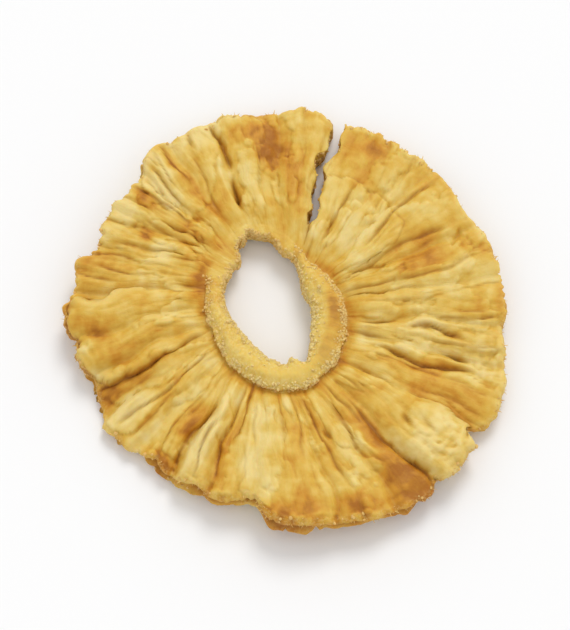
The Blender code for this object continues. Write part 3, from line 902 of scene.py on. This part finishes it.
def looks(grid, relief, furrows, dark, grain):
    """What the material reads at each vertex, and where crumbs and fibres cling."""
    high = relief - grid.blurred(relief, 12, 8)
    sharp = relief - grid.blurred(relief, 3, 2)
    clouds = 0.20 * grid.along_fibres(6.0, 13.0, 23) + 0.15 * grid.along_fibres(2.4, 7.0, 24)
    for weight, size, seed in ((0.22, 6.0, 25), (0.14, 2.4, 26), (0.07, 1.2, 27), (0.28, 17.0, 29)):
        clouds = clouds + weight * grid.in_plan(size, seed)
    tone = 0.42 + patchiness(grid) + clouds
    # Painted highlight and shade: raised relief is painted paler and hollow relief browner
    tone = tone - 0.20 * np.clip(high, -0.8, 0.7) - 0.32 * np.clip(sharp, -0.3, 0.3)
    # Painted shadow: a browner band on the flesh just beyond the foot of the raised collar
    tone = tone + 0.22 * bell(grid.past_collar / MM - 1.3) * grid.standing * grid.upper
    golden = grid.golden * grid.upper
    tone = tone + 0.25 * golden
    # Painted shade in the groove between the rim's two lips, browner and darker
    painted_groove_shade = rim_groove(grid)
    # Painted shade: the crease value darkens creases, pits, wrinkles, folds, furrows and the small hollows
    # of the relief
    crease = np.maximum(dark, 0.3 * np.clip(furrows / MM, 0.0, 1.0))
    crease = crease + 0.7 * np.clip(-sharp - 0.1, 0.0, 0.5)
    # Painted shadow: a dark line just below the raised collar's outer edge
    foot = bell((grid.past_collar / MM - 0.75) / 0.3)
    crease = np.maximum(crease, 0.8 * foot * grid.standing * grid.upper)
    at_edge = 1.0 - smoothstep(0.2 * MM, 1.6 * MM, grid.before_rim)
    around_collar = bell((grid.past_collar / MM - 0.05) / 0.45) * grid.standing
    around_hole = (1.0 - smoothstep(0.2 * MM, 1.3 * MM, grid.out)) * (grid.face > -0.6)
    clustered = np.clip(0.75 + 1.3 * grid.in_plan(2.6, 39), 0.15, 1.6)
    crumbly = np.maximum(grid.upper * around_collar, around_hole) * clustered
    crumbly = crumbly + 0.10 * grid.upper * clustered * grid.grainy
    # Painted shade in the hollows between the collar's grains
    grain_hollow_shade = np.clip(-grain / 0.2, 0.0, 1.0) * grid.grainy
    # Painted shade: the collar's left side shows less of its pale colour and more of the flesh's, so it
    # reads darker
    on_left = around_bearing(grid.at_hole, math.radians(190), math.radians(45))
    wood = grid.on_collar * (0.25 + 0.75 * grid.standing) * (1.0 - 0.75 * golden)
    fuzzy = np.maximum(grid.upper * around_collar, 0.8 * around_hole)
    fuzzy = np.maximum(fuzzy, 0.6 * grid.grainy * grid.upper)
    return {
        "tone": np.clip(tone + 0.35 * painted_groove_shade, 0.0, 1.0),
        "crease": np.clip(crease * grid.in_flesh**0.3 + 0.9 * painted_groove_shade + 0.5 * grain_hollow_shade, 0.0, 1.0),
        "collar": wood * (1.0 - 0.4 * on_left),
        "edge": at_edge * np.clip(0.4 - 0.5 * grid.face, 0.0, 1.0),
        "fuzzy": np.clip(fuzzy + 0.4 * at_edge * np.abs(grid.face), 0.0, 1.0),
        "frayed": at_edge * (grid.face > -0.3) * np.clip(0.5 + 1.2 * grid.in_plan(7.0, 37), 0.1, 1.5),
        "crumbly": crumbly + 0.06 * clustered * at_edge * (grid.face > -0.3),
    }


def fit_to_solid(points):
    """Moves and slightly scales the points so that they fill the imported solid's box."""
    low, high = (np.array(corner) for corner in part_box(NODE))
    flat = points.reshape(-1, 3)
    own_low, own_high = flat.min(axis=0), flat.max(axis=0)
    return (points - own_low) * ((high - low) / (own_high - own_low)) + low


# Meshes ---------------------------------------------------------------------------------------


def ring_mesh(grid, points, fields, fibre):
    """The closed mesh: the grid, joined where the split is shut and walled where it is open."""
    ids = np.arange(points.shape[0] * points.shape[1]).reshape(points.shape[:2])
    shut = np.concatenate([grid.hole, grid.top[: grid.root + 1], grid.bottom[: grid.root // 2 + 1]])
    ids[-1, shut] = ids[0, shut]
    nxt = np.roll(ids, -1, axis=1)
    faces = np.stack([ids[:-1], ids[1:], nxt[1:], nxt[:-1]], axis=-1).reshape(-1, 4).tolist()

    places = [points.reshape(-1, 3)]
    wall_count = 0
    depth = (np.arange(1, RIM_ROWS + 1) / (RIM_ROWS + 1))[:, None]
    random = np.random.default_rng(40)
    root_line = None
    for column in (0, COLUMNS - 1):
        above, below = grid.top[grid.open_rows], grid.bottom[grid.open_rows[0] // 2 :]
        underside = points[column, below]
        between = (underside[:-1] + underside[1:]) / 2.0
        underside = np.stack([underside[:-1], between], axis=1).reshape(-1, 3)
        wall = np.empty((RIM_ROWS + 1, len(above)), dtype=int)
        wall[0] = ids[column, above]
        wall[1:, -1] = ids[column, grid.rim]
        for k, top in enumerate(above[:-1]):
            if k == 0 and root_line is not None:
                wall[1:, 0] = root_line
                continue
            line = points[column, top] + (underside[k] - points[column, top]) * depth
            line[:, :2] += random.normal(0.0, 0.08 * MM, size=(RIM_ROWS, 2))
            places.append(line)
            wall[1:, k] = ids.size + wall_count + np.arange(RIM_ROWS)
            wall_count += RIM_ROWS
        root_line = wall[1:, 0]
        corners = (wall[:-1, :-1], wall[1:, :-1], wall[1:, 1:], wall[:-1, 1:])
        faces += np.stack(corners, axis=-1).reshape(-1, 4).tolist()
        foot = ids[column, below]
        last = wall[-1]
        faces += [[*last[2 * k : 2 * k + 3], foot[k + 1], foot[k]] for k in range(len(foot) - 1)]

    mesh = bpy.data.meshes.new("flesh_ring")
    mesh.from_pydata(np.concatenate(places).tolist(), [], faces)
    for name, field in fields.items():
        values = np.append(field.ravel(), np.full(wall_count, WALL_LOOKS.get(name, 0.0)))
        mesh.attributes.new(name, "FLOAT", "POINT").data.foreach_set("value", values)
    strands = np.concatenate([fibre.reshape(-1, 3), np.zeros((wall_count, 3))])
    strands[ids.size :] = np.concatenate(places[1:])
    mesh.attributes.new("fibre", "FLOAT_VECTOR", "POINT").data.foreach_set("vector", strands.ravel())
    tidy_mesh(mesh)
    return mesh


def tidy_mesh(mesh):
    """Drops the vertices that the join left loose, and turns every face outwards."""
    shape = bmesh.new()
    shape.from_mesh(mesh)
    loose = [vertex for vertex in shape.verts if not vertex.link_faces]
    bmesh.ops.delete(shape, geom=loose, context="VERTS")
    bmesh.ops.recalc_face_normals(shape, faces=shape.faces)
    if not all(edge.is_manifold for edge in shape.edges):
        raise RuntimeError("the ring's mesh isn't closed")
    shape.to_mesh(mesh)
    shape.free()
    mesh.shade_smooth()


# Nodes ----------------------------------------------------------------------------------------


def linear(colour):
    """An sRGB hex colour as linear red, green, blue and alpha."""
    parts = [int(colour[i : i + 2], 16) / 255.0 for i in (1, 3, 5)]
    return tuple(c / 12.92 if c <= 0.04045 else ((c + 0.055) / 1.055) ** 2.4 for c in parts) + (1.0,)


def node(tree, kind, inputs=None, **settings):
    """Adds a node with its settings; an input is a value, or another node's output to link."""
    made = tree.nodes.new(kind)
    for name, value in settings.items():
        setattr(made, name, value)
    for key, value in (inputs or {}).items():
        if isinstance(value, bpy.types.NodeSocket):
            tree.links.new(value, made.inputs[key])
        else:
            made.inputs[key].default_value = value
    return made


def new_material(name):
    material = bpy.data.materials.new(name)
    material.use_nodes = True
    material.node_tree.nodes.clear()
    return material, functools.partial(node, material.node_tree)


# Leathery dried flesh: its sugars have set between tough fibres, so that it is satin rather than wet,
# golden where it is thick, and amber at the rim. Raised relief is painted straw-pale, a painted
# highlight, and its folds, creases and hollows are painted brown, a painted shade
FLESH_TONES = ((0.0, "#E7CF85"), (0.26, "#E0C064"), (0.5, "#D8AD43"), (0.76, "#CB8F26"), (1.0, "#A86812"))


def flesh_material(colours):
    material, add = new_material("leathery_dried_flesh")
    tone, crease, collar, edge, fuzzy = (
        add("ShaderNodeAttribute", attribute_name=name).outputs["Fac"]
        for name in ("tone", "crease", "collar", "edge", "fuzzy")
    )
    fibre = add("ShaderNodeAttribute", attribute_name="fibre").outputs["Vector"]
    place = add("ShaderNodeTexCoord").outputs["Object"]

    # Fibres lie about 0.5 mm apart, and colour follows them in streaks a few millimetres wide
    drawn = add("ShaderNodeVectorMath", {0: fibre, 1: (1.0, 1.0, 0.2)}, operation="MULTIPLY").outputs[0]
    strands, streaks, mottle, grain = (
        add(
            "ShaderNodeTexNoise",
            {"Vector": vector, "Scale": 1.0 / size, "Detail": 3.0, "Roughness": 0.55, "Distortion": bent},
        ).outputs["Fac"]
        for vector, size, bent in (
            (drawn, 0.55 * MM, 0.6),
            (drawn, 2.0 * MM, 0.8),
            (place, 2.6 * MM, 0.6),
            (place, 0.45 * MM, 0.0),
        )
    )
    shade = tone
    for pattern, weight in ((strands, 0.20), (streaks, 0.24), (mottle, 0.44)):
        centred = add("ShaderNodeMath", {0: pattern, 1: 0.5}, operation="SUBTRACT").outputs[0]
        terms = {0: centred, 1: weight, 2: shade}
        shade = add("ShaderNodeMath", terms, operation="MULTIPLY_ADD").outputs[0]
    ramp = add("ShaderNodeValToRGB", {"Fac": shade})
    for stop, colour in FLESH_TONES[1:-1]:
        ramp.color_ramp.elements.new(stop).color = linear(colour)
    ramp.color_ramp.elements[0].color = linear(FLESH_TONES[0][1])
    ramp.color_ramp.elements[-1].color = linear(FLESH_TONES[-1][1])

    # Painted shade: the crease value darkens the flesh towards the crease colour
    folded = add("ShaderNodeMath", {0: crease, 1: 0.6}, operation="MULTIPLY").outputs[0]
    crease_shaded = add(
        "ShaderNodeMix", {0: folded, 6: ramp.outputs[0], 7: (*colours.crease, 1.0)}, data_type="RGBA"
    )
    thin = add("ShaderNodeMath", {0: edge, 1: 0.3}, operation="MULTIPLY").outputs[0]
    ambered = add(
        "ShaderNodeMix", {0: thin, 6: crease_shaded.outputs[2], 7: (*colours.rim, 1.0)}, data_type="RGBA"
    )
    dark_core = tuple(0.76 * c for c in colours.collar)
    woody = add(
        "ShaderNodeMix", {0: grain, 6: (*colours.collar, 1.0), 7: (*dark_core, 1.0)}, data_type="RGBA"
    )
    cored = add("ShaderNodeMath", {0: collar, 1: 0.75}, operation="MULTIPLY").outputs[0]
    cored_flesh = add(
        "ShaderNodeMix", {0: cored, 6: ambered.outputs[2], 7: woody.outputs[2]}, data_type="RGBA"
    )
    tufts = add(
        "ShaderNodeMapRange", {0: grain, 1: 0.42, 2: 0.62, 4: 0.75}, interpolation_type="SMOOTHSTEP"
    ).outputs[0]
    tufted = add("ShaderNodeMath", {0: tufts, 1: fuzzy}, operation="MULTIPLY").outputs[0]
    coloured = add(
        "ShaderNodeMix", {0: tufted, 6: cored_flesh.outputs[2], 7: (*colours.crumbs, 1.0)}, data_type="RGBA"
    )

    satin = add("ShaderNodeMath", {0: mottle, 1: 0.25, 2: 0.44}, operation="MULTIPLY_ADD").outputs[0]
    roughness = add("ShaderNodeMath", {0: collar, 1: 0.25, 2: satin}, operation="MULTIPLY_ADD").outputs[0]
    fine = add("ShaderNodeBump", {"Height": grain, "Distance": 0.10 * MM, "Strength": 0.7})
    off_collar = add("ShaderNodeMath", {0: 0.7, 1: collar}, operation="SUBTRACT", use_clamp=True).outputs[0]
    stringy = add(
        "ShaderNodeBump",
        {"Height": strands, "Distance": 0.18 * MM, "Strength": off_collar, "Normal": fine.outputs[0]},
    )
    shader = add(
        "ShaderNodeBsdfPrincipled",
        {
            "Base Color": coloured.outputs[2],
            "Roughness": roughness,
            "Normal": stringy.outputs[0],
            "IOR": 1.45,
            "Specular IOR Level": 0.35,
            "Subsurface Weight": 0.3,
            "Subsurface Radius": (1.0, 0.55, 0.2),
            "Subsurface Scale": 1.2 * MM,
        },
    )
    add("ShaderNodeOutputMaterial", {"Surface": shader.outputs[0]})
    return material


# Dry crumbs of torn fibre: matt, pale as straw on the woody core and amber at the rim
def crumb_material(colours):
    material, add = new_material("dry_torn_fibre")
    collar, shade = (
        add("ShaderNodeAttribute", attribute_name=name).outputs["Fac"] for name in ("collar", "shade")
    )
    rim_crumbs, crumbs = (*colours.rim_crumbs, 1.0), (*colours.crumbs, 1.0)
    woody = add("ShaderNodeMix", {0: collar, 6: rim_crumbs, 7: crumbs}, data_type="RGBA")
    dark = add(
        "ShaderNodeMix", {0: shade, 6: woody.outputs[2], 7: (*colours.crease, 1.0)}, data_type="RGBA"
    )
    shader = add(
        "ShaderNodeBsdfPrincipled",
        {
            "Base Color": dark.outputs[2],
            "Roughness": 0.65,
            "IOR": 1.45,
            "Subsurface Weight": 0.2,
            "Subsurface Radius": (1.0, 0.6, 0.25),
            "Subsurface Scale": 0.5 * MM,
        },
    )
    add("ShaderNodeOutputMaterial", {"Surface": shader.outputs[0]})
    return material


def floor_material():
    """Matt white card, as a seamless studio sweep has it."""
    material, add = new_material("matt_white_card")
    place = add("ShaderNodeTexCoord").outputs["Object"]
    pulp = add("ShaderNodeTexNoise", {"Vector": place, "Scale": 1.0 / (0.8 * MM)}).outputs["Fac"]
    bump = add("ShaderNodeBump", {"Height": pulp, "Distance": 0.01 * MM, "Strength": 0.3})
    shader = add(
        "ShaderNodeBsdfPrincipled",
        {"Base Color": linear("#F5F5F5"), "Roughness": 0.9, "Normal": bump.outputs[0]},
    )
    add("ShaderNodeOutputMaterial", {"Surface": shader.outputs[0]})
    return material


def scatter_tree(name, field, material, shape):
    """A tree that scatters a shape over a surface, thickest where the field is largest."""
    tree = bpy.data.node_groups.new(name, "GeometryNodeTree")
    tree.interface.new_socket("Surface", in_out="INPUT", socket_type="NodeSocketGeometry")
    for each in ("Density", "Smallest", "Largest", "Tilt"):
        tree.interface.new_socket(each, in_out="INPUT", socket_type="NodeSocketFloat")
    tree.interface.new_socket("Seed", in_out="INPUT", socket_type="NodeSocketInt")
    tree.interface.new_socket("Geometry", in_out="OUTPUT", socket_type="NodeSocketGeometry")
    add = functools.partial(node, tree)
    group = add("NodeGroupInput").outputs
    weight = add("GeometryNodeInputNamedAttribute", {"Name": field}, data_type="FLOAT").outputs[0]
    density = add("ShaderNodeMath", {0: weight, 1: group["Density"]}, operation="MULTIPLY").outputs[0]
    points = add(
        "GeometryNodeDistributePointsOnFaces",
        {"Mesh": group["Surface"], "Density": density, "Seed": group["Seed"]},
    ).outputs
    sizes = add(
        "FunctionNodeRandomValue",
        {2: group["Smallest"], 3: group["Largest"], "Seed": group["Seed"]},
        data_type="FLOAT",
    ).outputs[1]
    stretch = add(
        "FunctionNodeRandomValue",
        {0: (0.5, 0.6, 0.5), 1: (1.1, 1.3, 1.3), "Seed": 3},
        data_type="FLOAT_VECTOR",
    ).outputs[0]
    scale = add("ShaderNodeVectorMath", {0: stretch, "Scale": sizes}, operation="SCALE").outputs[0]
    tilts = add(
        "ShaderNodeVectorMath",
        {0: (1.0, 1.0, 4.0), "Scale": group["Tilt"]},
        operation="SCALE",
    ).outputs[0]
    against = add("ShaderNodeVectorMath", {0: tilts, "Scale": -1.0}, operation="SCALE").outputs[0]
    turn = add(
        "FunctionNodeRandomValue",
        {0: against, 1: tilts, "Seed": 4},
        data_type="FLOAT_VECTOR",
    ).outputs[0]
    rotation = add(
        "FunctionNodeRotateRotation", {0: points["Rotation"], 1: turn}, rotation_space="LOCAL"
    ).outputs[0]
    copies = add(
        "GeometryNodeInstanceOnPoints",
        {"Points": points["Points"], "Instance": shape(add), "Rotation": rotation, "Scale": scale},
    ).outputs[0]
    shade = add("FunctionNodeRandomValue", {2: 0.0, 3: 0.25, "Seed": 5}, data_type="FLOAT").outputs[1]
    shaded = add(
        "GeometryNodeStoreNamedAttribute",
        {"Geometry": copies, "Name": "shade", "Value": shade},
        data_type="FLOAT",
        domain="INSTANCE",
    ).outputs[0]
    real = add("GeometryNodeRealizeInstances", {0: shaded}).outputs[0]
    painted = add("GeometryNodeSetMaterial", {"Geometry": real, "Material": material}).outputs[0]
    add("NodeGroupOutput", {"Geometry": painted})
    return tree


def crumb_shape(add):
    """A crumb about 2 units across."""
    return add("GeometryNodeMeshIcoSphere", {"Radius": 1.0, "Subdivisions": 1}).outputs["Mesh"]


def strand_shape(add):
    """A bent strand 1 unit long, which tapers to its tip."""
    line = add(
        "GeometryNodeCurveQuadraticBezier",
        {"Resolution": 4, "Start": (0.0, 0.0, -0.1), "Middle": (0.0, 0.1, 0.5), "End": (0.35, 0.0, 0.9)},
    ).outputs[0]
    along = add("GeometryNodeSplineParameter").outputs["Factor"]
    taper = add("ShaderNodeMath", {0: 1.05, 1: along}, operation="SUBTRACT").outputs[0]
    tapered = add("GeometryNodeSetCurveRadius", {"Curve": line, "Radius": taper}).outputs[0]
    section = add("GeometryNodeCurvePrimitiveCircle", {"Resolution": 4, "Radius": 0.16}).outputs["Curve"]
    radius = add("GeometryNodeInputRadius").outputs[0]
    return add(
        "GeometryNodeCurveToMesh",
        {"Curve": tapered, "Profile Curve": section, "Scale": radius, "Fill Caps": True},
    ).outputs[0]


def scattered(name, surface, tree, values):
    """A new object that holds what the tree makes of the surface."""
    holder = bpy.data.objects.new(name, surface)
    bpy.context.scene.collection.objects.link(holder)
    modifier = holder.modifiers.new(name, "NODES")
    modifier.node_group = tree
    for socket in tree.interface.items_tree:
        if socket.in_out == "INPUT" and socket.name in values:
            modifier[socket.identifier] = values[socket.name]
    bpy.context.view_layer.update()
    mesh = bpy.data.meshes.new_from_object(holder.evaluated_get(bpy.context.evaluated_depsgraph_get()))
    holder.modifiers.remove(modifier)
    places = np.empty(3 * len(mesh.vertices), dtype=np.float32)
    mesh.vertices.foreach_get("co", places)
    places[2::3] = np.clip(places[2::3], CAD_BOX[0].z, CAD_BOX[1].z)
    mesh.vertices.foreach_set("co", places)
    holder.data = mesh
    mesh.name = name
    return holder


# What a user would change ---------------------------------------------------------------------


class RingSizes(bpy.types.PropertyGroup):
    """Sizes of the relief, the crumbs and the strands."""

    wrinkle: FloatProperty(
        name="Wrinkles", description="Height of a wrinkle", default=1.0 * MM, unit="LENGTH"
    )
    fray: FloatProperty(
        name="Fray", description="How far the rim is torn", default=1.0 * MM, unit="LENGTH"
    )
    crumb: FloatProperty(
        name="Crumb", description="Radius of a large crumb", default=0.40 * MM, unit="LENGTH"
    )
    strand: FloatProperty(
        name="Strand", description="Length of a long strand", default=0.9 * MM, unit="LENGTH"
    )


class RingColours(bpy.types.PropertyGroup):
    """Colours of the flesh, the core and the crumbs."""

    # The colour of the shade painted into the flesh's creases, pits, folds and hollows; crumbs are darkened
    # towards it at random
    crease: FloatVectorProperty(
        name="Crease", description="Browned folds", subtype="COLOR", default=linear("#935D18")[:3]
    )
    rim: FloatVectorProperty(
        name="Rim", description="Thin flesh at the rim", subtype="COLOR", default=linear("#C07C22")[:3]
    )
    collar: FloatVectorProperty(
        name="Collar", description="Woody core", subtype="COLOR", default=linear("#ECCB66")[:3]
    )
    crumbs: FloatVectorProperty(
        name="Crumbs", description="Crumbs on the core", subtype="COLOR", default=linear("#EDD48C")[:3]
    )
    rim_crumbs: FloatVectorProperty(
        name="Rim crumbs", description="Crumbs at the rim", subtype="COLOR", default=linear("#E6BE70")[:3]
    )


class PINEAPPLE_OT_flesh(bpy.types.Operator):
    """Builds the ring's flesh with its collar, split and rim"""

    bl_idname = "pineapple.flesh"
    bl_label = "Build flesh"

    def execute(self, context):
        grid = Grid()
        points, fields = ring_surface(grid, context.scene.ring_sizes)
        mesh = ring_mesh(grid, fit_to_solid(points), fields, grid.fibre)
        mesh.materials.append(flesh_material(context.scene.ring_colours))
        ring = bpy.data.objects.new("flesh_ring", mesh)
        context.scene.collection.objects.link(ring)
        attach(ring, BODY)
        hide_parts(NODE)
        return {"FINISHED"}


class PINEAPPLE_OT_crumbs(bpy.types.Operator):
    """Scatters crumbs over the edges of the core and along the rim"""

    bl_idname = "pineapple.crumbs"
    bl_label = "Scatter crumbs"

    def execute(self, context):
        largest = context.scene.ring_sizes.crumb
        material = crumb_material(context.scene.ring_colours)
        tree = scatter_tree("scatter_crumbs", "crumbly", material, crumb_shape)
        values = {"Density": 7.0 / MM**2, "Tilt": 3.0, "Seed": 6}
        values |= {"Smallest": 0.25 * largest, "Largest": largest}
        crumbs = scattered("core_and_rim_crumbs", bpy.data.meshes["flesh_ring"], tree, values)
        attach(crumbs, BODY)
        return {"FINISHED"}


class PINEAPPLE_OT_strands(bpy.types.Operator):
    """Scatters stray strands along the torn rim"""

    bl_idname = "pineapple.strands"
    bl_label = "Scatter strands"

    def execute(self, context):
        longest = context.scene.ring_sizes.strand
        material = bpy.data.materials["dry_torn_fibre"]
        tree = scatter_tree("scatter_strands", "frayed", material, strand_shape)
        values = {"Density": 1.2 / MM**2, "Tilt": 0.5, "Seed": 8}
        values |= {"Smallest": 0.35 * longest, "Largest": longest}
        strands = scattered("rim_strands", bpy.data.meshes["flesh_ring"], tree, values)
        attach(strands, BODY)
        return {"FINISHED"}


class PINEAPPLE_OT_stage(bpy.types.Operator):
    """Adds the floor, the light and the camera"""

    bl_idname = "pineapple.stage"
    bl_label = "Build stage"

    def execute(self, context):
        scene = context.scene
        shape = bmesh.new()
        bmesh.ops.create_grid(shape, x_segments=1, y_segments=1, size=6.0)
        mesh = bpy.data.meshes.new("studio_floor")
        shape.to_mesh(mesh)
        shape.free()
        mesh.materials.append(floor_material())
        floor = bpy.data.objects.new("studio_floor", mesh)
        scene.collection.objects.link(floor)

        world = bpy.data.worlds.new("soft_studio")
        world.use_nodes = True
        world.node_tree.nodes["Background"].inputs["Color"].default_value = linear("#FFFFFF")
        world.node_tree.nodes["Background"].inputs["Strength"].default_value = 0.80
        scene.world = world
        scene.view_settings.view_transform = "Standard"

        key = bpy.data.lights.new("key", "SUN")
        key.energy = 1.15
        key.angle = math.radians(26)
        lamp = bpy.data.objects.new("key", key)
        lamp.rotation_euler = (math.radians(-38), math.radians(14), 0.0)
        scene.collection.objects.link(lamp)

        low, high = CAD_BOX
        centre = (low + high) / 2.0
        camera = bpy.data.cameras.new("camera")
        camera.lens = 200.0
        holder = bpy.data.objects.new("camera", camera)
        scene.collection.objects.link(holder)
        scene.camera = holder
        elevation = math.radians(68)
        distance = 0.640
        back, up = distance * math.cos(elevation), distance * math.sin(elevation)
        holder.location = (centre.x, centre.y - back, centre.z + up)
        holder.rotation_euler = (math.pi / 2.0 - elevation, 0.0, 0.0)
        return {"FINISHED"}


OPERATORS = (PINEAPPLE_OT_flesh, PINEAPPLE_OT_crumbs, PINEAPPLE_OT_strands, PINEAPPLE_OT_stage)


class PINEAPPLE_PT_panel(bpy.types.Panel):
    """Builds the ring from the 3D view's sidebar"""

    bl_label = "Dried pineapple ring"
    bl_idname = "PINEAPPLE_PT_panel"
    bl_space_type = "VIEW_3D"
    bl_region_type = "UI"
    bl_category = "Dried fruit"

    def draw(self, context):
        for operator in OPERATORS:
            self.layout.operator(operator.bl_idname)


CLASSES = (RingSizes, RingColours, *OPERATORS, PINEAPPLE_PT_panel)


def register():
    for each in CLASSES:
        bpy.utils.register_class(each)
    bpy.types.Scene.ring_sizes = PointerProperty(type=RingSizes)
    bpy.types.Scene.ring_colours = PointerProperty(type=RingColours)


def unregister():
    del bpy.types.Scene.ring_colours
    del bpy.types.Scene.ring_sizes
    for each in reversed(CLASSES):
        bpy.utils.unregister_class(each)


def main():
    register()
    bpy.ops.pineapple.flesh()
    bpy.ops.pineapple.crumbs()
    bpy.ops.pineapple.strands()
    bpy.ops.pineapple.stage()


if __name__ == "__main__":
    main()
